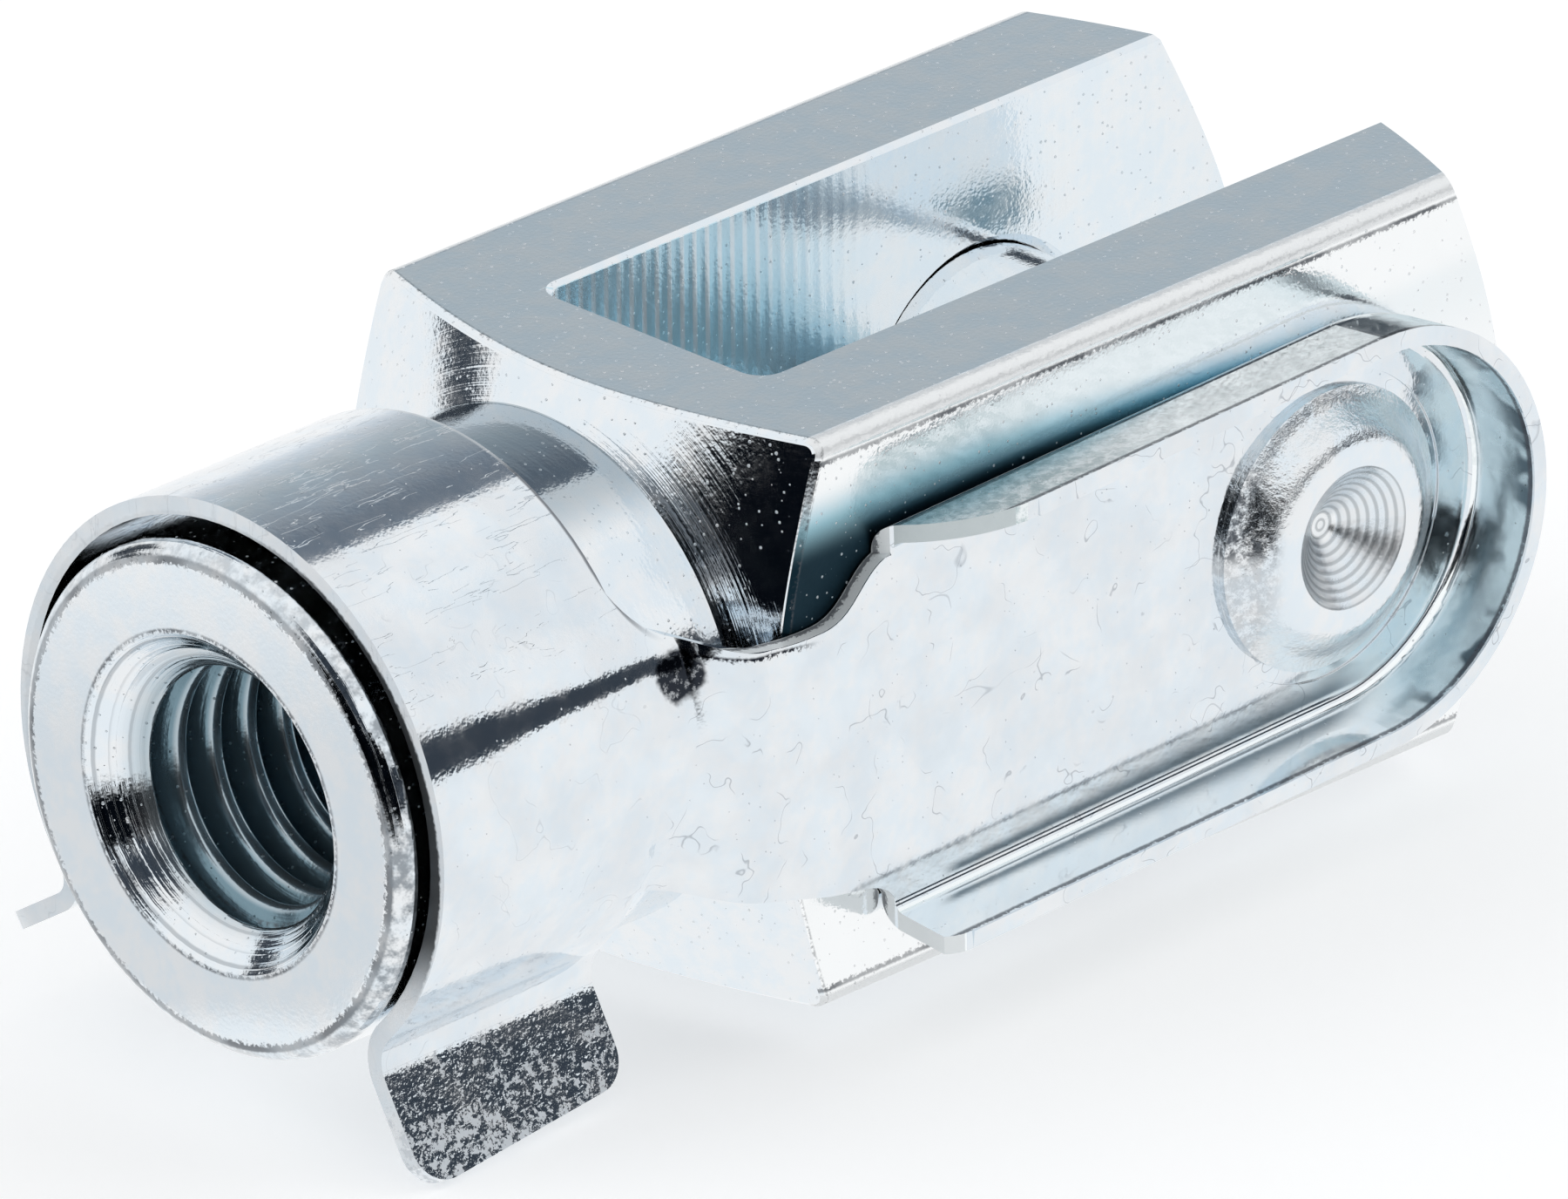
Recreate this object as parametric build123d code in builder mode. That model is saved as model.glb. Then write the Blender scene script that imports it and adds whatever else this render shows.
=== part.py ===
from build123d import *
from math import asin, cos, degrees, radians, sin, tan
import os

# Clevis rod end for an M8 rod: a fork head turned and slotted from square bar, and a spring clip
# of thin sheet whose riveted pin closes the fork. Lengths are in millimetres, angles in degrees.
# The origin is where the pin axis (Y) crosses the rod axis (X). The rod screws in at -X, the fork
# opens towards +X, and the clip snaps over the neck from above (+Z), with its arm at -Y.

# ---- Fork head: bar, fork and neck ---------------------------------------------------------------
bar_width = 16.0  # square bar, across flats
bar_edge_round = 0.45  # radius along the bar's four long edges
slot_width = 8.0  # gap between the two ears
slot_corner_round = 0.6  # radius in the slot's root corners
slot_edge_break = 0.15  # chamfer along the slot's upper and lower edges
eye_to_root = 16.0  # pin axis to the slot's root
eye_to_tip = 9.75  # pin axis to the ears' innermost tips
tip_angle = 31.5  # turned cone of the ear tips, away from a flat end
eye_to_shoulder = 20.0  # pin axis to the foot of the shoulder cone
shoulder_angle = 26.5  # shoulder cone, away from a flat step
eye_to_neck_face = 32.0  # pin axis to the neck's end face
neck_diameter = 14.0
neck_edge_round = 0.6  # radius on the rim of the neck's end face

# ---- Fork head: bores ----------------------------------------------------------------------------
eye_diameter = 8.0  # bore through both ears
eye_chamfer = 0.25
thread_diameter = 8.0  # major diameter of the rod's thread, which runs through to the slot
countersink_diameter = 9.15

# ---- Clevis pin ----------------------------------------------------------------------------------
pin_clearance = 0.04  # radial running clearance in the ears
pin_overhang = 0.6  # how far the free end stands past the far ear
pin_end_chamfer = 0.8
rivet_shank_diameter = 5.6  # waist of the pin inside the clip's arm
rivet_clearance = 0.02  # radial, between that waist and the arm's hole
rivet_head_diameter = 7.8
rivet_rim_height = 0.15  # square edge of the head above the arm
rivet_crest_diameter = 4.6
rivet_crest_height = 1.05  # crest above the arm's outer face
dimple_diameter = 3.9
dimple_depth = 1.2
dimple_point_diameter = 0.7  # blunt point at the bottom of the dimple

# ---- Spring clip: sheet and C clamp --------------------------------------------------------------
sheet = 0.5  # thickness of the spring sheet
arm_clearance = 0.05  # gap between the arm and the near ear
clamp_clearance = 0.25  # radial, at the sides of the neck
clamp_lift = 0.26  # centre of the C above the rod axis
clamp_setback = 0.8  # neck's end face to the C's front edge
clamp_length = 7.5  # length of the C along the neck
near_wrap_angle = 52.0  # how far the C reaches below level on the arm's side
far_wrap_angle = 43.0  # and on the far side
near_lip_angle = 60.5  # slope of the near lip below level
far_lip_angle = 33.0
near_lip_length = 4.25  # from the corner of its bend to its edge, at the neck's face
near_lip_skew = 0.65  # how much shorter it is at the fork's side
far_lip_length = 3.7
near_lip_bend_radius = 1.0  # inside radius of the bend into the near lip
far_lip_bend_radius = 0.5
lip_corner_round = 1.0

# ---- Spring clip: web ----------------------------------------------------------------------------
web_end = 20.2  # pin axis to where the web has come out level with the arm
web_lead = 0.7  # length at each end of that step over which the web runs straight on
web_upper_root = 5.2  # heights above and below the arm's centre line where the web leaves the C
web_lower_root = 2.2
web_root_round = 2.4  # radius in the corner above the web, where it leaves the C
web_waist = 18.3  # pin axis to the narrowest place of the web
web_upper_waist = 3.55  # heights of the web's edges there
web_lower_waist = 3.95

# ---- Spring clip: dished arm ---------------------------------------------------------------------
arm_angle = 1.63  # the arm rises by this much towards the fork's tip
arm_half_width = 5.65  # centre line to the outside of the flange, at the arm's back
arm_end_shift = 0.35  # centre of the arm's round end ahead of the pin axis
flange_height = 2.5  # arm's back to the flange's rim, along the outside
flange_flare = 0.25  # how far the rim spreads outwards
flange_bend_radius = 0.3  # inside radius of the bend between arm and flange
flange_start = 16.0  # pin axis to the foot of the flange
flange_upper_rise = 3.6  # length over which it reaches its full height, above and below
flange_lower_rise = 0.8
rivet_seat_diameter = 8.6  # coined ring that seats the rivet's head
rivet_seat_depth = 0.06

# ---- Values worked out from the sizes above ------------------------------------------------------
half_bar = bar_width / 2
pin_radius = eye_diameter / 2 - pin_clearance
clamp_radius = neck_diameter / 2 + clamp_clearance
clamp_front = eye_to_neck_face - clamp_setback
clamp_rear = clamp_front - clamp_length
arm_back = half_bar + arm_clearance
arm_face = arm_back + sheet
rim_face = arm_back + flange_height

os.makedirs("parts", exist_ok=True)

# ---- Fork head -----------------------------------------------------------------------------------
with BuildPart() as fork_head:
    # Square bar with rounded edges, then the turned envelope: neck, shoulder cone and coned ear tips.
    with BuildSketch(Plane.YZ.offset(-eye_to_neck_face)) as bar_section:
        RectangleRounded(bar_width, bar_width, bar_edge_round)
    extrude(amount=eye_to_neck_face + eye_to_tip)
    turning_radius = bar_width
    shoulder_rise = turning_radius - neck_diameter / 2
    tip_rise = turning_radius - slot_width / 2
    with BuildSketch() as envelope:
        with BuildLine():
            Polyline(
                (-eye_to_neck_face, 0),
                (-eye_to_neck_face, neck_diameter / 2),
                (-eye_to_shoulder, neck_diameter / 2),
                (-eye_to_shoulder + shoulder_rise * tan(radians(shoulder_angle)), turning_radius),
                (eye_to_tip - tip_rise * tan(radians(tip_angle)), turning_radius),
                (eye_to_tip, slot_width / 2),
                (eye_to_tip, 0),
                close=True,
            )
        make_face()
        neck_rim = envelope.vertices().sort_by_distance((-eye_to_neck_face, neck_diameter / 2))[0]
        fillet(neck_rim, neck_edge_round)
    revolve(axis=Axis.X, mode=Mode.INTERSECT)

    # Slot between the ears, with its upper and lower edges broken.
    with BuildSketch() as slot:
        with Locations((-eye_to_root, 0)):
            Rectangle(eye_to_root + 2 * eye_to_tip, slot_width, align=(Align.MIN, Align.CENTER))
        fillet(slot.vertices().group_by(Axis.X)[0], slot_corner_round)
    extrude(amount=bar_width, both=True, mode=Mode.SUBTRACT)
    slot_edges = fork_head.edges().filter_by(
        lambda edge: abs(edge.center().Z) > half_bar - 1e-3
        and abs(edge.center().Y) < slot_width / 2 + 1e-3
    )
    chamfer(slot_edges, slot_edge_break)

    # Eye: one bore through both ears, chamfered at its four mouths.
    with Locations(Plane(origin=(0, -half_bar, 0), z_dir=(0, -1, 0))):
        Hole(eye_diameter / 2)
    eye_mouths = fork_head.edges().filter_by(
        lambda edge: edge.geom_type == GeomType.CIRCLE
        and abs(edge.radius - eye_diameter / 2) < 1e-6
        and abs(edge.arc_center.X) < 1e-6
    )
    chamfer(eye_mouths, eye_chamfer)

    # Rod bore, at the thread's major diameter, countersunk at the neck's face.
    with Locations(Plane(origin=(-eye_to_neck_face, 0, 0), z_dir=(-1, 0, 0))):
        CounterSinkHole(
            thread_diameter / 2,
            countersink_diameter / 2,
            depth=eye_to_neck_face - eye_to_root + slot_corner_round,
            counter_sink_angle=90,
        )
fork_head.part.label = "fork_head"
export_step(fork_head.part, "parts/fork_head.step")

# ---- Clevis pin ----------------------------------------------------------------------------------
# One turned profile about the pin axis: free end, shank, the waist inside the arm and the headed end.
# The head is set over the arm by a punch, which leaves a raised ring around a conical dimple.
with BuildPart() as clevis_pin:
    with BuildSketch() as pin_profile:
        with BuildLine():
            free_end = half_bar + pin_overhang
            head_seat = rivet_seat_depth - arm_face
            crest = -arm_face - rivet_crest_height
            Spline(
                (rivet_head_diameter / 2, -arm_face - rivet_rim_height),
                (rivet_crest_diameter / 2, crest),
                tangents=((-1, -0.15), (-1, 0)),
            )
            Polyline(
                (rivet_crest_diameter / 2, crest),
                (dimple_diameter / 2, crest),
                (dimple_point_diameter / 2, crest + dimple_depth),
                (0, crest + dimple_depth),
                (0, free_end),
                (pin_radius - pin_end_chamfer, free_end),
                (pin_radius, free_end - pin_end_chamfer),
                (pin_radius, -arm_back),
                (rivet_shank_diameter / 2, -arm_back),
                (rivet_shank_diameter / 2, head_seat),
                (rivet_head_diameter / 2, head_seat),
                (rivet_head_diameter / 2, -arm_face - rivet_rim_height),
            )
        make_face()
    revolve(axis=Axis.Y)
clevis_pin.part.label = "clevis_pin"
export_step(clevis_pin.part, "parts/clevis_pin.step")

# ---- Spring clip ---------------------------------------------------------------------------------
# One pressing: the C clamps the neck, the web steps out past the shoulder, and the dished arm lies
# on the near ear and carries the pin. The arm is made first, flat on the ear and a little tilted.
tilt = radians(arm_angle)
along_arm = (cos(tilt), 0, sin(tilt))
across_arm = (-sin(tilt), 0, cos(tilt))
arm_plane = Plane(origin=(0, -arm_back, 0), x_dir=along_arm, z_dir=(0, -1, 0))
flange_plane = Plane(origin=(0, 0, 0), x_dir=along_arm, z_dir=across_arm)
arm_section_plane = Plane(origin=(0, 0, 0), x_dir=(0, 1, 0), z_dir=along_arm)
flat_half_width = arm_half_width - flange_bend_radius - sheet


def curved_web_section(distance):
    """Sketch of the web's section where it still follows the C, at a distance from the pin axis."""
    drop = clamp_rear * sin(tilt)
    spare = 0.75 * web_root_round  # height from which the outline cuts the round above the web
    high = web_upper_root + spare - drop - clamp_lift
    low = -web_lower_root - sheet - drop - clamp_lift
    with BuildSketch(Plane.YZ.offset(-distance)) as section:
        with BuildLine():
            ends = []
            for radius in (clamp_radius + sheet, clamp_radius):
                start = 180 - degrees(asin(high / radius))
                sweep = degrees(asin(high / radius)) - degrees(asin(low / radius))
                ends.append(CenterArc((0, clamp_lift), radius, start, sweep))
            Line(ends[0] @ 0, ends[1] @ 0)
            Line(ends[0] @ 1, ends[1] @ 1)
        make_face()
    return section.sketch


def flat_web_section(distance):
    """Sketch of the web's section where it is flat and level with the arm."""
    with BuildSketch(arm_section_plane.offset(-distance)) as section:
        with Locations((-arm_back - sheet / 2, 0)):
            Rectangle(sheet, 2 * flat_half_width)
    return section.sketch


with BuildPart() as arm:
    # Dish: half of the arm's section, with its flange, run back on both sides of the centre line and
    # turned about the middle of the round end.
    with BuildSketch(arm_section_plane.offset(arm_end_shift)) as half_section:
        with BuildLine() as back_line:
            bend_corner = (-arm_back, arm_half_width)
            Polyline((-arm_back, 0), bend_corner, (-rim_face, arm_half_width + flange_flare))
            fillet(back_line.vertices().sort_by_distance(bend_corner)[0], flange_bend_radius + sheet)
            offset(amount=sheet, side=Side.LEFT)
        make_face()
    extrude(amount=-web_end - arm_end_shift)
    mirror(about=Plane(origin=(0, 0, 0), x_dir=along_arm, z_dir=across_arm))
    end_middle = (arm_end_shift * cos(tilt), 0, arm_end_shift * sin(tilt))
    revolve(half_section.sketch, axis=Axis(end_middle, (0, 1, 0)), revolution_arc=180)

    # The flange's two ends, seen along the arm's width.
    for side, rise in ((1, flange_upper_rise), (-1, flange_lower_rise)):
        foot = (-flange_start, -arm_back)
        crown = (rise - flange_start, -rim_face)
        with BuildSketch(flange_plane.offset(side * flat_half_width)):
            with BuildLine():
                TangentArc(crown, foot, tangent=(-1, 0))
                Polyline(
                    foot,
                    (-flange_start, -half_bar + sheet),
                    (-web_end - sheet, -half_bar + sheet),
                    (-web_end - sheet, -rim_face - sheet),
                    (rise - flange_start, -rim_face - sheet),
                    crown,
                )
            make_face()
        extrude(amount=side * half_bar, mode=Mode.SUBTRACT)

    # Web: it leaves the C curved and comes out flat, level with the arm.
    loft(
        [
            curved_web_section(clamp_rear),
            curved_web_section(clamp_rear - web_lead),
            flat_web_section(web_end + web_lead),
            flat_web_section(web_end),
        ]
    )

    # Outline of the web, seen square on.
    with BuildSketch(arm_plane) as arm_outline:
        with BuildLine():
            clear = arm_half_width + half_bar
            upper_root = (-clamp_rear, web_upper_root)
            lower_root = (-clamp_rear - sheet, -web_lower_root)
            upper_waist = (-web_waist, web_upper_waist)
            lower_waist = (-web_waist, -web_lower_waist)
            upper_foot = (-flange_start, flat_half_width)
            lower_foot = (-flange_start, -flat_half_width)
            TangentArc(upper_waist, upper_root, tangent=(-1, 0))
            Spline(upper_waist, upper_foot, tangents=((1, 0), (1, 0.3)))
            Line(lower_root, lower_waist)
            Spline(lower_waist, lower_foot, tangents=((1, -0.25), (0.5, -1)))
            Polyline(
                upper_root,
                (-clamp_rear, web_upper_root + clear),
                (-clamp_rear - sheet, web_upper_root + clear),
                lower_root,
            )
            Polyline(
                upper_foot,
                (-flange_start, clear),
                (clear, clear),
                (clear, -clear),
                (-flange_start, -clear),
                lower_foot,
            )
        make_face()
        fillet(arm_outline.vertices().sort_by_distance(upper_root)[0], web_root_round)
    extrude(amount=rim_face, both=True, mode=Mode.INTERSECT)

with BuildPart() as spring_clip:
    # C clamp: its neck-side line is drawn and thickened outwards, then run along the neck.
    with BuildSketch(Plane.YZ.offset(-clamp_front)):
        with BuildLine() as clamp_line:
            wrap_angle = far_wrap_angle + 180 + near_wrap_angle
            wrap = CenterArc((0, clamp_lift), clamp_radius, -far_wrap_angle, wrap_angle)
            near_lip = PolarLine(wrap @ 1, near_lip_length, angle=180 + near_lip_angle)
            far_lip = PolarLine(wrap @ 0, far_lip_length, angle=-far_lip_angle)
            far_bend = clamp_line.vertices().sort_by_distance(wrap @ 0)[0]
            fillet(far_bend, far_lip_bend_radius + sheet)
            near_bend = clamp_line.vertices().sort_by_distance(wrap @ 1)[0]
            fillet(near_bend, near_lip_bend_radius + sheet)
            offset(amount=sheet, side=Side.RIGHT)
        make_face()
    extrude(amount=clamp_length)
    lip_slope = radians(near_lip_angle)
    lip_plane = Plane(
        origin=(-clamp_front, (near_lip @ 1).X, (near_lip @ 1).Y),
        x_dir=(1, 0, 0),
        z_dir=(0, sin(lip_slope), -cos(lip_slope)),
    )
    with BuildSketch(lip_plane):
        Polygon((0, 0), (clamp_length, -near_lip_skew), (clamp_length, sheet), (0, sheet), align=None)
    extrude(amount=2 * sheet, both=True, mode=Mode.SUBTRACT)
    lip_corners = spring_clip.edges().filter_by(lambda edge: abs(edge.length - sheet) < 1e-3)
    fillet(lip_corners, lip_corner_round)
    add(arm.part)

    # Hole for the rivet, with its coined seat.
    with Locations(Plane(origin=(0, -arm_face, 0), z_dir=(0, -1, 0))):
        CounterBoreHole(
            rivet_shank_diameter / 2 + rivet_clearance,
            rivet_seat_diameter / 2,
            rivet_seat_depth,
            depth=2 * sheet,
        )
spring_clip.part.label = "spring_clip"
export_step(spring_clip.part, "parts/spring_clip.step")
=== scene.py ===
# %% [markdown]
# # Clevis rod end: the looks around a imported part
# The object is a fork head for an M8 rod. A spring clip of thin sheet carries the pin that closes
# the fork, and snaps over the neck. All of it is steel with a bright zinc plating.
#
# The three solids come in ready-made and are never changed. This lesson gives them their plating,
# adds what was too fine for the solids, which is the turns of the thread, and sets up a small
# studio. Everything is in metres, in the part's own frame: the rod runs along X, the pin along Y.

# %% Load the frame
from math import cos, pi, radians, sin, tan

import bmesh
import bpy
from mathutils import Matrix, Vector


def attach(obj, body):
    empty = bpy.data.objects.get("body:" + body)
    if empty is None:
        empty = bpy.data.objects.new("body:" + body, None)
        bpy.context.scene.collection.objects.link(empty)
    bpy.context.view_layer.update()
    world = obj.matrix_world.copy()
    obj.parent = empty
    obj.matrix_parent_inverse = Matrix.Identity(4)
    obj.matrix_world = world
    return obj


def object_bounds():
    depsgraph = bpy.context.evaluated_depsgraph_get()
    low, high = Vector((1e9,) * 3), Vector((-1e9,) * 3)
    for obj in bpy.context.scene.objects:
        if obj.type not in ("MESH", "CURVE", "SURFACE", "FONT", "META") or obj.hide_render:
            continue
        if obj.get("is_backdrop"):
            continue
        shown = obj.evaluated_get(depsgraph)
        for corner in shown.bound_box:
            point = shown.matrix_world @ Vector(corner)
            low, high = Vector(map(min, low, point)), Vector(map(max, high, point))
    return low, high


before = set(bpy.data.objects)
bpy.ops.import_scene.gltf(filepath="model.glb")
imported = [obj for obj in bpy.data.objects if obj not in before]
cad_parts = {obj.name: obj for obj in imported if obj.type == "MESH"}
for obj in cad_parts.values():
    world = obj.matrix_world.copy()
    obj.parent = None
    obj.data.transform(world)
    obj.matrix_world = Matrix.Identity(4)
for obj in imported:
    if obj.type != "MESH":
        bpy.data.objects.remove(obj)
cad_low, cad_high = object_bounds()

MM = 0.001  # one millimetre in scene units
scene = bpy.context.scene
print("solids:", sorted(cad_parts))
print("box, mm:", [round(side / MM, 2) for side in cad_high - cad_low])

# %% [markdown]
# ## Camera
# A small metal part looks best from far off through a long lens, so that its parallel edges stay
# nearly parallel. The camera stands about 0.8 m away and looks down on the part across its near
# corner. Its place is written as an azimuth, an elevation and a distance from the point it aims at,
# because those can be changed one at a time without losing the part from view.

# %% Camera
CAMERA_AIM = Vector((-11.0, 0.29, -1.26)) * MM
CAMERA_AZIMUTH = -44.83  # degrees; 0 looks along +Y
CAMERA_ELEVATION = 24.54
CAMERA_DISTANCE = 798.1 * MM
CAMERA_ROLL = -0.52
CAMERA_LENS = 707.2  # mm
SENSOR_WIDTH = 36.0  # mm
NEAREST_SEEN, FARTHEST_SEEN = 0.1, 20.0  # metres


def direction(azimuth, elevation):
    """Unit vector from the part towards an azimuth and an elevation, in degrees."""
    turn, flat = radians(azimuth), cos(radians(elevation))
    return Vector((sin(turn) * flat, -cos(turn) * flat, sin(radians(elevation))))


camera = bpy.data.objects.new("camera", bpy.data.cameras.new("camera"))
scene.collection.objects.link(camera)
towards_camera = direction(CAMERA_AZIMUTH, CAMERA_ELEVATION)
level_turn = (-towards_camera).to_track_quat("-Z", "Y").to_matrix()
camera.rotation_euler = (level_turn @ Matrix.Rotation(radians(CAMERA_ROLL), 3, "Z")).to_euler()
camera.location = CAMERA_AIM + towards_camera * CAMERA_DISTANCE
camera.data.lens = CAMERA_LENS
camera.data.sensor_width = SENSOR_WIDTH
camera.data.clip_start = NEAREST_SEEN
camera.data.clip_end = FARTHEST_SEEN
scene.camera = camera
scene.view_settings.view_transform = "Standard"
print("camera at, mm:", [round(x / MM, 1) for x in camera.location])

# %% [markdown]
# ## Writing materials as nodes
# Every finish here is procedural: a few nodes compute it from the place on the piece, so it has
# no picture files and no seams. Small helpers keep the node code readable: `node` adds one node
# and fills its inputs, `calc` does the same for arithmetic, and `mix_colours` blends two colours.


# %% Node helpers
def node(tree, kind, inputs=None, **settings):
    """Add a node. Each input is given a plain value, or the socket that feeds it."""
    made = tree.nodes.new(kind)
    for name, value in settings.items():
        setattr(made, name, value)
    for name, value in (inputs or {}).items():
        if isinstance(value, bpy.types.NodeSocket):
            tree.links.new(value, made.inputs[name])
        else:
            made.inputs[name].default_value = value
    return made


def calc(tree, operation, *values, clamp=False):
    """Add a Math node on sockets or numbers and return its result."""
    inputs = dict(enumerate(values))
    return node(tree, "ShaderNodeMath", inputs, operation=operation, use_clamp=clamp).outputs[0]


def ramp(tree, value, low, high, out_low=0.0, out_high=1.0):
    """Map a value smoothly from low..high to out_low..out_high, and hold it outside."""
    inputs = {"Value": value, "From Min": low, "From Max": high}
    inputs.update({"To Min": out_low, "To Max": out_high})
    mapped = node(tree, "ShaderNodeMapRange", inputs, interpolation_type="SMOOTHSTEP")
    return mapped.outputs["Result"]


def mix_colours(tree, factor, first, second):
    """Blend two colours, given as sockets or as red, green, blue and 1."""
    inputs = {0: factor, 6: first, 7: second}
    return node(tree, "ShaderNodeMix", inputs, data_type="RGBA").outputs[2]


print("node helpers:", [helper.__name__ for helper in (node, calc, ramp, mix_colours)])

# %% [markdown]
# ## Studio: floor, light and flags
# Bright metal has almost no colour of its own: it shows what stands around it. So its surroundings
# are built first. Here they are a white room with a pale floor, which a camera and a polished face
# see at full white, and two large soft lamps. The lamps are just strong enough that a colour comes
# out about as it is written; stronger ones would burn the pale plating out to white.
#
# In an all-white room polished metal looks like paper. So dark and grey cards, called flags, stand
# around the part, out of the picture. They are seen only in reflections: they draw the dark lines
# and the grey faces that tell the eye where metal bends.

# %% World: a white room
ROOM_LIGHT = 0.68  # world strength for light that falls on matt surfaces
WHITE = (1.0, 1.0, 1.0, 1.0)

world = bpy.data.worlds.new("white room")
world.use_nodes = True
scene.world = world
tree = world.node_tree
tree.nodes.clear()
path = node(tree, "ShaderNodeLightPath").outputs
seen = calc(tree, "MAXIMUM", path["Is Camera Ray"], path["Is Glossy Ray"])
seen = calc(tree, "MAXIMUM", seen, path["Is Transmission Ray"])
strength = ramp(tree, seen, 0.0, 1.0, ROOM_LIGHT, 1.0)
background = node(tree, "ShaderNodeBackground", {"Color": WHITE, "Strength": strength})
node(tree, "ShaderNodeOutputWorld", {"Surface": background.outputs[0]})
print("room light:", ROOM_LIGHT)

# %% Floor
FLOOR_COLOUR = (0.82, 0.83, 0.84, 1.0)
FLOOR_SIZE = 6.0  # metres

floor_mesh = bpy.data.meshes.new("floor")
bm = bmesh.new()
bmesh.ops.create_grid(bm, x_segments=1, y_segments=1, size=FLOOR_SIZE / 2)
bmesh.ops.translate(bm, verts=bm.verts, vec=(0, 0, cad_low.z))
bm.to_mesh(floor_mesh)
bm.free()
floor = bpy.data.objects.new("floor", floor_mesh)
scene.collection.objects.link(floor)
floor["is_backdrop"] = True
print("floor at, mm:", round(cad_low.z / MM, 3))

# %% Floor: pale paper that keeps the shadow
FLOOR_GLOW = 0.36  # lifts the floor to white for the camera, and keeps the shadow on it

paper = bpy.data.materials.new("pale_paper")
paper.use_nodes = True
tree = paper.node_tree
sheet_shader = tree.nodes["Principled BSDF"]
sheet_shader.inputs["Base Color"].default_value = FLOOR_COLOUR
sheet_shader.inputs["Roughness"].default_value = 1.0
sheet_shader.inputs["Specular IOR Level"].default_value = 0.0
path = node(tree, "ShaderNodeLightPath").outputs
glow = calc(tree, "MULTIPLY", path["Is Camera Ray"], FLOOR_GLOW)
glow_shader = node(tree, "ShaderNodeEmission", {"Color": WHITE, "Strength": glow})
lifted = node(tree, "ShaderNodeAddShader", {0: sheet_shader.outputs[0], 1: glow_shader.outputs[0]})
white = node(tree, "ShaderNodeEmission", {"Color": WHITE, "Strength": 1.0})
mirrored = calc(tree, "MAXIMUM", path["Is Glossy Ray"], path["Is Transmission Ray"])
both = {0: mirrored, 1: lifted.outputs[0], 2: white.outputs[0]}
both = node(tree, "ShaderNodeMixShader", both)
tree.links.new(both.outputs[0], tree.nodes["Material Output"].inputs["Surface"])
floor_mesh.materials.append(paper)
print("paper nodes:", len(tree.nodes))


# %% Lamps
def soft_lamp(name, azimuth, elevation, distance, width, height, power):
    """A large rectangular lamp facing the part. Reflections show the white room in its place."""
    light = bpy.data.lights.new(name, "AREA")
    light.shape = "RECTANGLE"
    light.size = width
    light.size_y = height
    light.energy = power
    lamp = bpy.data.objects.new(name, light)
    scene.collection.objects.link(lamp)
    lamp.location = direction(azimuth, elevation) * distance
    lamp.rotation_euler = (-lamp.location).to_track_quat("-Z", "Y").to_euler()
    lamp.visible_glossy = False
    print(name, "of", power, "W at", azimuth, elevation)


soft_lamp("lamp_right", azimuth=60, elevation=42, distance=1.6, width=1.6, height=1.0, power=3.2)
soft_lamp("lamp_left", azimuth=-125, elevation=35, distance=1.6, width=1.2, height=0.9, power=3.2)

# %% [markdown]
# ## Flags
# A mirror doesn't care how far off a card is, only in which direction it lies. So a flag is cut out
# of a sphere around the part, between two azimuths and two elevations. Flat cards would do as well,
# but each would have to be aimed by hand, while here every side of a reflection is one number. The
# sides of a flag fade out, as soft cloth would at the edge of a frame.


# %% Material of a flag
def flag_material(name, shades, fades):
    """A glow shaded from foot to top, which fades out over a share of its width and its height."""
    material = bpy.data.materials.new(name)
    material.use_nodes = True
    tree = material.node_tree
    tree.nodes.clear()
    place = node(tree, "ShaderNodeTexCoord").outputs["UV"]
    across, up, _ = node(tree, "ShaderNodeSeparateXYZ", {0: place}).outputs
    shade = node(tree, "ShaderNodeValToRGB", {"Fac": up})
    stops = shade.color_ramp.elements
    while len(stops) < len(shades):
        stops.new(0.5)
    for stop, (at, colour) in zip(stops, shades):
        stop.position = at
        stop.color = (*colour, 1.0)
    cover = 1.0
    for along, fade in zip((across, up), fades):
        to_edge = calc(tree, "MINIMUM", along, calc(tree, "SUBTRACT", 1.0, along))
        cover = calc(tree, "MULTIPLY", cover, ramp(tree, to_edge, 0.0, fade))
    card = node(tree, "ShaderNodeEmission", {"Color": shade.outputs["Color"]})
    clear = node(tree, "ShaderNodeBsdfTransparent")
    surface = {0: cover, 1: clear.outputs[0], 2: card.outputs[0]}
    surface = node(tree, "ShaderNodeMixShader", surface)
    node(tree, "ShaderNodeOutputMaterial", {"Surface": surface.outputs[0]})
    return material


print("flag helper:", flag_material.__name__)


# %% Flags
FLAG_DISTANCE = 0.6  # metres
FLAG_LIFT = 0.2 * MM  # of the part of a flag that lies on the floor


def flag(name, azimuths, elevations, shades, fades, centre=Vector()):
    """A card seen only in reflections, between two azimuths and two elevations around a centre.
    Below the horizon the card bends and lies on the floor."""
    mesh = bpy.data.meshes.new(name)
    bm = bmesh.new()
    bmesh.ops.create_grid(bm, x_segments=24, y_segments=16, size=0.5)
    uv_layer = bm.loops.layers.uv.new("UVMap")
    for face in bm.faces:
        for loop in face.loops:
            loop[uv_layer].uv = (loop.vert.co.x + 0.5, loop.vert.co.y + 0.5)
    for vertex in bm.verts:
        azimuth = azimuths[0] + (vertex.co.x + 0.5) * (azimuths[1] - azimuths[0])
        elevation = elevations[0] + (vertex.co.y + 0.5) * (elevations[1] - elevations[0])
        towards = direction(azimuth, elevation)
        reach = FLAG_DISTANCE
        if towards.z < 0:
            reach = min(reach, (cad_low.z - centre.z + FLAG_LIFT) / towards.z)
        vertex.co = centre + towards * reach
    bm.to_mesh(mesh)
    bm.free()
    mesh.materials.append(flag_material(name, shades, fades))

    made = bpy.data.objects.new(name, mesh)
    scene.collection.objects.link(made)
    made.visible_camera = False
    made.visible_diffuse = False
    made.visible_transmission = False
    made.visible_shadow = False
    made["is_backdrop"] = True


print("flag distance, m:", FLAG_DISTANCE)


# %% Place the flags
def plain(*colour):
    """The shades of a flag that is the same from foot to top."""
    return [(0.0, colour), (1.0, colour)]


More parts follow.
